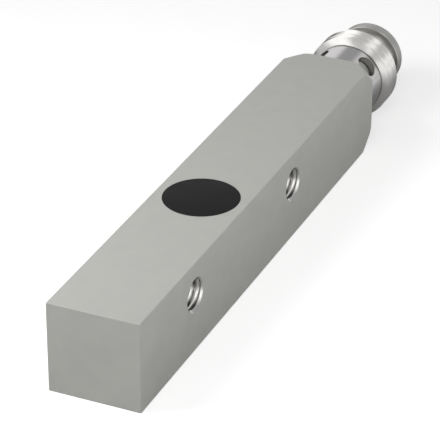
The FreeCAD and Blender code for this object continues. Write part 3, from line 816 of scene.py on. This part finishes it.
@dataclass
class Bar:
    """The metal bar, with its cone end, its inner spaces and the threads in its cross holes."""

    edge_radius: float = 0.1
    front_edge: float = 0.08
    cone_radius: float = 4.7
    cone_slope: float = 2.142
    cone_steps: int = 384
    end_round: float = 0.6
    end_facets: int = 8
    pocket_radius: float = 3.25
    pocket_floor: float = 3.7
    passage_radius: float = 0.9
    passage_offset: float = 1.63
    channel: Triple = (2.6, 0.9, 3.2)
    channel_front: float = -12.1
    channel_rear: float = 14.8
    channel_corner: float = 0.4
    bore_radius: float = 3.0
    bore_front: float = 10.5
    bore_lead_in: float = 0.15
    overrun: float = 0.5
    thread: Thread = Thread(
        pitch=0.5, crest_radius=1.46, root_radius=1.253, crest_flat=0.04, steps=64, flank_angle=44.0)
    mouth_radius: float = 1.5
    mouth_end: float = 1.2

    def __post_init__(self) -> None:
        """Takes the bar's corners and its axis from the frame."""
        self.low, self.high = corners("housing")
        self.axis = Vector((0, 0, (self.low.z + self.high.z) / 2))

    def build(self) -> Workpiece:
        """Models the bar.

        Returns:
            The bar, with its holes and spaces cut.
        """
        bar = Workpiece.block("bar", self.low, self.high)
        bar.round_edges(self.edge_radius, 4, lengthwise)
        bar.round_edges(self.front_edge, 2, beyond(lambda point: self.low.y - point.y))
        bar.combine(self.cone(), "INTERSECT")
        for tool in self.spaces():
            bar.cut(tool)
        for middle in cross_holes():
            self.cross_hole(bar, middle / MM)
        return bar

    def cone(self) -> Workpiece:
        """Makes the turned shape whose cone and rounding cut the corners of the rear end.

        Returns:
            The shape.
        """
        rear, wide, bend = self.high.y, self.high.x * 2, math.atan(self.cone_slope)
        flat = self.cone_radius - self.end_round * math.tan(bend / 2)
        angles = [bend * (1 - step / self.end_facets) for step in range(self.end_facets + 1)]
        start, end = self.low.y - MARGIN, rear + self.overrun
        outline = [
            (0, start), (wide, start, rear - (wide - self.cone_radius) * self.cone_slope),
            *((flat + self.end_round * math.sin(angle), rear - self.end_round * (1 - math.cos(angle)))
              for angle in angles),
            (flat, end), (0, end)]
        return Workpiece.turned("cone", outline, self.axis, steps=self.cone_steps)

    def spaces(self) -> Iterable[Workpiece]:
        """Makes the tools that cut the inner spaces.

        Yields:
            The coil pocket, the channel, the lead passage and the rear bore.
        """
        low, high = corners("sensing_cap")
        coil = Vector((0, (low.y + high.y) / 2, 0))
        lead = coil + Vector((0, self.passage_offset, 0))
        half, floor, roof = self.channel
        top = self.high.z + self.overrun
        yield Workpiece.drill("coil_pocket", Vector((0, coil.y, self.pocket_floor)), Vector((0, coil.y, top)),
                              self.pocket_radius, 96)
        channel = Workpiece.block("channel", Vector((-half, self.channel_front, floor)),
                                  Vector((half, self.channel_rear, roof)))
        channel.round_edges(self.channel_corner, 4, lengthwise)
        yield channel
        yield Workpiece.drill("lead_passage", Vector((0, lead.y, (floor + roof) / 2)),
                              Vector((0, lead.y, self.pocket_floor + NEAR)), self.passage_radius, 32)
        end = self.high.y + self.overrun
        outline = [
            (0, self.bore_front), (self.bore_radius, self.bore_front, self.high.y - self.bore_lead_in),
            (self.bore_radius + self.bore_lead_in + self.overrun, end), (0, end)]
        yield Workpiece.turned("rear_bore", outline, self.axis)

    def cross_hole(self, bar: Workpiece, middle: Vector) -> None:
        """Cuts one threaded cross hole, whose turns run out at the two side faces.

        Args:
            bar: the bar.
            middle: the middle of the hole.
        """
        face, reach = self.high.x, self.high.x + self.overrun
        rod = self.thread.rod("cross_thread", -reach, reach, 0)
        narrow, wide = face - self.mouth_radius + self.mouth_end, self.mouth_radius + self.overrun
        outline = [(0, -reach), (wide, -reach), (self.mouth_end, -narrow, narrow), (wide, reach), (0, reach)]
        mouths = Workpiece.turned("mouths", outline, Vector((0, 0, 0)))
        for tool in (rod, mouths):
            tool.place(middle, Vector((0, 0, -math.pi / 2)))
            bar.cut(tool)


@dataclass
class SensingCap:
    """The plastic cap, whose disc is the sensing face."""

    radius: float = 3.23
    face: float = 0.8
    wall: float = 0.5
    rim: float = 0.05

    def build(self) -> Workpiece:
        """Turns the cap and rounds its rim.

        Returns:
            The cap.
        """
        low, high = corners("sensing_cap")
        middle = Vector((0, (low.y + high.y) / 2, 0))
        inner, under = self.radius - self.wall, high.z - self.face
        outline = [(0, high.z), (self.radius, high.z, low.z), (inner, low.z, under), (0, under)]
        cap = Workpiece.turned("face_cap", outline, middle, Axis.UP)
        cap.round_edges(self.rim, 3, beyond(
            lambda point: min(point.z - high.z, (point - middle).xy.length - self.radius)))
        return cap


@dataclass
class Connector:
    """The turned sleeve of the plug connector, with its fine thread line and its lamp windows."""

    spigot_radius: float = 2.98
    bore_radius: float = 2.6
    neck_radius: float = 3.35
    neck_length: float = 4.2
    ring_radius: float = 4.0
    ring_length: float = 2.25
    groove_radius: float = 2.8
    collar_radius: float = 3.15
    collar_length: float = 1.25
    collar_chamfer: float = 0.15
    cavity_radius: float = 2.45
    cavity_depth: float = 4.8
    cavity_lead_in: float = 0.12
    window_radius: float = 1.0
    window_gap: float = 0.35
    window_turn: float = math.radians(45)
    window_count: int = 4
    edge: float = 0.03
    rim_radius: float = 3.4
    thread: Thread = Thread(pitch=1.0, crest_radius=4.06, root_radius=3.88, crest_flat=0.69, steps=192)
    thread_crest: float = 0.92

    def __post_init__(self) -> None:
        """Takes the sleeve's ends and the bar's axis and rear end from the frame, and places the windows."""
        low, high = corners("housing")
        self.bar_end = high.y
        self.rear, self.front = (corner.y for corner in corners("connector_sleeve"))
        self.middle = Vector((0, (self.rear + self.front) / 2, (low.z + high.z) / 2))
        self.ring_start = self.bar_end + self.neck_length
        self.ring_end = self.ring_start + self.ring_length
        window = self.ring_start - self.window_gap - self.window_radius
        self.window_middle = Vector((0, window, self.middle.z))
        turns = (self.window_turn + FULL_TURN * index / self.window_count
                 for index in range(self.window_count))
        self.window_sides = [Vector((math.cos(turn), 0, math.sin(turn))) for turn in turns]

    def outline(self) -> Outline:
        """Lays out the sleeve.

        Returns:
            Its outline, from its rear end along the outside and back through the bore.
        """
        minor, major = self.rim_radius, self.ring_radius
        flank = (major - minor) * self.thread.slope
        floor, collar = self.front - self.cavity_depth, self.front - self.collar_length
        chamfer, lead_in = self.collar_chamfer, self.cavity_lead_in
        return [
            (self.bore_radius, self.rear),
            (self.spigot_radius, self.rear, self.bar_end),
            (self.neck_radius, self.bar_end, self.ring_start),
            (minor, self.ring_start),
            (major, self.ring_start + flank, self.ring_end),
            (minor, self.ring_end + flank),
            (self.groove_radius, self.ring_end + flank, collar),
            (self.collar_radius, collar, self.front - chamfer),
            (self.collar_radius - chamfer, self.front),
            (self.cavity_radius + lead_in, self.front),
            (self.cavity_radius, self.front - lead_in, floor),
            (self.bore_radius, floor),
        ]

    def build(self) -> Workpiece:
        """Turns the sleeve, cuts its thread and drills its windows.

        Returns:
            The sleeve.
        """
        sleeve = Workpiece.turned("threaded_sleeve", self.outline(), self.middle, steps=192, closed=True)
        sleeve.modify("BEVEL", width=self.edge, segments=2, limit_method="ANGLE",
                      angle_limit=BEVEL_ANGLE, loop_slide=False)
        reach = (self.front - self.rear) / 2 + MARGIN
        crest = self.ring_start + self.thread_crest - self.middle.y
        rod = self.thread.rod("sleeve_thread", -reach, reach, crest)
        rod.place(self.middle)
        sleeve.combine(rod, "INTERSECT")
        for out in self.window_sides[:self.window_count // 2]:
            side, middle = out * self.ring_radius, self.window_middle
            sleeve.cut(Workpiece.drill("window", middle - side, middle + side, self.window_radius, 48))
        return sleeve


@dataclass
class LightGuide:
    """The clear ring behind the windows, with a domed boss in each of them."""

    outer_radius: float = 2.58
    wall: float = 0.65
    boss_radius: float = 0.95
    boss_end: float = 2.7
    dome: float = 0.12

    def build(self, connector: Connector) -> Workpiece:
        """Turns the ring and joins the bosses to it.

        Args:
            connector: the sleeve whose windows the bosses enter.

        Returns:
            The light guide.
        """
        low, high = corners("light_guide")
        middle, root = connector.middle, connector.window_middle
        inner = self.outer_radius - self.wall
        outline = [(inner, low.y), (self.outer_radius, low.y, high.y), (inner, high.y)]
        ring = Workpiece.turned("window_guide", outline, middle, closed=True)
        for out in connector.window_sides:
            start, end = root + out * (inner + self.wall / 2), root + out * self.boss_end
            boss = Workpiece.drill("boss", start, end, self.boss_radius, 48)
            boss.round_edges(self.dome, 4, beyond(lambda point: (point - end).dot(out)))
            ring.combine(boss, "UNION")
        return ring


@dataclass
class Contacts:
    """The three gold-plated contacts, each with a rounded tip."""

    radius: float = 0.5
    tail_radius: float = 0.3
    shoulder: float = 5.2
    tip: float = 0.25
    names: tuple[str, ...] = ("contact_pin_1", "contact_pin_3", "contact_pin_4")

    def build(self) -> dict[str, Workpiece]:
        """Turns one contact and copies it for the others.

        Returns:
            Each contact by the name of its node.
        """
        low, high = corners(self.names[0])
        middle = (low + high) / 2
        step = low.y + self.shoulder
        outline = [(0, low.y), (self.tail_radius, low.y, step), (self.radius, step, high.y), (0, high.y)]
        first = Workpiece.turned(f"gold_{self.names[0]}", outline, middle, steps=48)
        first.round_edges(self.tip, 5, beyond(
            lambda point: min(point.y - high.y, (point - middle).xz.length - self.radius)))
        pins = {self.names[0]: first}
        for name in self.names[1:]:
            pins[name] = first.copy(f"gold_{name}", corners(name)[0] - low)
        return pins


@dataclass(frozen=True)
class Panel:
    """A long light panel beside the object, which only reflections show.

    It lies along Y, and its place is the angle about Y, in degrees, from the right horizon upwards.
    """

    angle: float
    reach: float
    fade: float
    strength: float

    def seen(self, graph: Graph, angle: Any) -> Any:
        """Gives how bright the panel is at an angle, which is an output in degrees."""
        off = graph.sum("ABSOLUTE", graph.sum("SUBTRACT", angle, self.angle))
        return graph.spread(off, self.reach + self.fade, self.reach - self.fade, 0, self.strength)


@dataclass
class Studio:
    """The pale floor, the soft lamps, the surroundings and the camera.

    The camera's sizes are in millimetres and all others in metres.
    """

    azimuth: float = math.radians(24.05)
    elevation: float = math.radians(29.39)
    target: Vector = field(default_factory=lambda: Vector((0, -5.5, 4)))
    offset: Triple = (0.10, 0.17, 212.46)
    lens: float = 207.0
    clip: float = 10.0
    sensor: float = 36.0
    floor_size: float = 3.0
    floor_tone: float = 0.78
    floor_glow: float = 0.6
    floor_shine: float = 0.7
    # Where the floor's glow in reflections fades in, as a painted shadow near the object, and the tone and
    # reach of the painted shade on its left in reflections.
    shade: tuple[float, float] = (0.004, 0.03)
    left_shade_tone: float = 0.3
    left_edge: float = 0.004
    front_share: float = 0.35
    front_edge: float = 0.02
    world_strength: float = 0.18
    world_shine: float = 0.6
    panels: tuple[Panel, ...] = (
        Panel(angle=140, reach=22, fade=7, strength=0.7),
        Panel(angle=64, reach=11, fade=6, strength=0.5),
        Panel(angle=0, reach=18, fade=8, strength=0.5),
    )
    lamps: tuple[tuple[str, Triple, float, float], ...] = (
        ("front_lamp", (0.0, -0.11, 0.09), 0.06, 0.017),
        ("top_lamp", (0.04, -0.06, 0.12), 0.06, 0.022),
        ("left_lamp", (-0.04, -0.04, 0.06), 0.04, 0.035),
        ("right_lamp", (0.15, 0.04, 0.02), 0.08, 0.086),
    )

    def build(self) -> None:
        """Sets up everything round the object."""
        self.floor()
        self.world()
        for name, place, size, power in self.lamps:
            self.lamp(name, Vector(place), size, power)
        self.camera()
        bpy.context.scene.view_settings.view_transform = "Standard"

    def floor(self) -> None:
        """Lays the floor, which keeps the object's shadow and looks nearly white.

        Reflections show it bright too, except close to the object, where a painted shadow fades its glow out,
        and on its left, where painted shade darkens it.
        """
        bpy.ops.mesh.primitive_plane_add(size=self.floor_size)
        floor = bpy.context.object
        floor.name = "floor"
        made = bpy.data.materials.new("pale_floor")
        made.use_nodes = True
        graph = Graph(made.node_tree)
        path = graph.add("LightPath").outputs
        here = graph.here()
        parts = graph.parts(here)
        # Painted shade on the floor's left, which only reflections show, weaker towards the front.
        share = graph.spread(parts["Y"], -self.front_edge, self.front_edge, self.front_share, 1)
        dark = graph.sum("MULTIPLY", graph.spread(parts["X"], -self.left_edge, self.left_edge, 1, 0), share)
        left = graph.sum("MULTIPLY", path["Is Glossy Ray"], dark)
        tone = graph.mix(left, self.floor_tone, self.left_shade_tone)
        grey = graph.add("CombineColor", tone, tone, tone).outputs[0]
        matt = graph.add("BsdfDiffuse", grey)
        seen = graph.sum("MAXIMUM", path["Is Camera Ray"], path["Is Transmission Ray"])
        # A painted shadow in reflections: the floor's glow for them fades in with the distance from the
        # object.
        past = graph.vector("SUBTRACT", graph.vector("ABSOLUTE", here), (*CAD_BOX[1].xy, 0))
        apart = graph.vector("LENGTH", graph.vector("MAXIMUM", past, (0, 0, 0)))
        away = graph.spread(apart, *self.shade, 0, self.floor_shine)
        shine = graph.sum("MULTIPLY", graph.sum("SUBTRACT", path["Is Glossy Ray"], left), away)
        glow = graph.add("Emission", WHITE, graph.sum("MULTIPLY_ADD", seen, self.floor_glow, shine))
        both = graph.add("AddShader", matt.outputs[0], glow.outputs[0])
        graph.add("OutputMaterial", both.outputs[0])
        floor.data.materials.append(made)

    def world(self) -> None:
        """Surrounds the object with plain soft light, which reflections show as long light panels."""
        world = bpy.data.worlds.new("surroundings")
        bpy.context.scene.world = world
        world.use_nodes = True
        graph = Graph(world.node_tree)
        path = graph.add("LightPath").outputs
        parts = graph.parts(graph.add("TexCoord").outputs["Generated"])
        angle = graph.sum("DEGREES", graph.sum("ARCTAN2", parts["Z"], parts["X"]))
        shine = self.world_shine
        for panel in self.panels:
            shine = graph.sum("ADD", shine, panel.seen(graph, angle))
        strength = graph.mix(path["Is Glossy Ray"], self.world_strength, shine)
        sky = graph.add("Background", WHITE, graph.mix(path["Is Camera Ray"], strength, 1.0))
        graph.add("OutputWorld", sky.outputs[0])

    def lamp(self, name: str, place: Vector, size: float, power: float) -> None:
        """Hangs one square lamp that faces the object.

        Args:
            name: the lamp's name.
            place: where it hangs, in metres.
            size: the length of its sides.
            power: its power, in watts.
        """
        data = bpy.data.lights.new(name, "AREA")
        data.size = size
        data.energy = power
        lamp = bpy.data.objects.new(name, data)
        lamp.visible_camera = lamp.visible_glossy = False
        lamp.location = place
        lamp.rotation_euler = (self.target * MM - place).to_track_quat("-Z", "Y").to_euler()
        bpy.context.scene.collection.objects.link(lamp)

    def camera(self) -> None:
        """Puts the camera where the photograph was taken from."""
        turn, tilt = self.azimuth, self.elevation
        right = Vector((math.cos(turn), math.sin(turn), 0))
        ahead = Vector((-math.sin(turn) * math.cos(tilt), math.cos(turn) * math.cos(tilt), -math.sin(tilt)))
        up = right.cross(ahead)
        data = bpy.data.cameras.new("camera")
        data.lens = self.lens
        data.sensor_width = self.sensor
        data.clip_start = self.clip * MM
        camera = bpy.data.objects.new("camera", data)
        across, rise, back = self.offset
        place = (self.target - across * right - rise * up - back * ahead) * MM
        camera.matrix_world = Matrix.Translation(place) @ Matrix((right, up, -ahead)).transposed().to_4x4()
        bpy.context.scene.collection.objects.link(camera)
        bpy.context.scene.camera = camera


class Sensor:
    """The whole sensor: the modelled pieces and the dressed nodes."""

    def __init__(self) -> None:
        """Builds the materials and lists each node's slot."""
        patterns = Patterns()
        self.materials = {name: finish.material(name, patterns) for name, finish in FINISHES.items()}
        self.slots = {part["node"]: part["material_slot"] for part in frame["record"]["subparts"]}

    def finish(self, piece: Workpiece, node: str) -> None:
        """Finishes a modelled piece in the place of its node."""
        slot = self.slots[node]
        piece.finish(self.materials[slot], slot, node)

    def build(self) -> None:
        """Models the pieces in order and dresses the nodes that stay."""
        connector = Connector()
        self.finish(Bar().build(), "housing")
        self.finish(SensingCap().build(), "sensing_cap")
        self.finish(connector.build(), "connector_sleeve")
        self.finish(LightGuide().build(connector), "light_guide")
        for node, pin in Contacts().build().items():
            self.finish(pin, node)
        for node, thing in frame["nodes"].items():
            for slot in thing.material_slots:
                slot.material = self.materials[self.slots[node]]
            log.info("%s: %s", node, self.slots[node])


def main() -> None:
    """Builds the sensor and its studio."""
    logging.basicConfig(level=logging.INFO, format="%(message)s")
    Sensor().build()
    Studio().build()


if __name__ == "__main__":
    main()
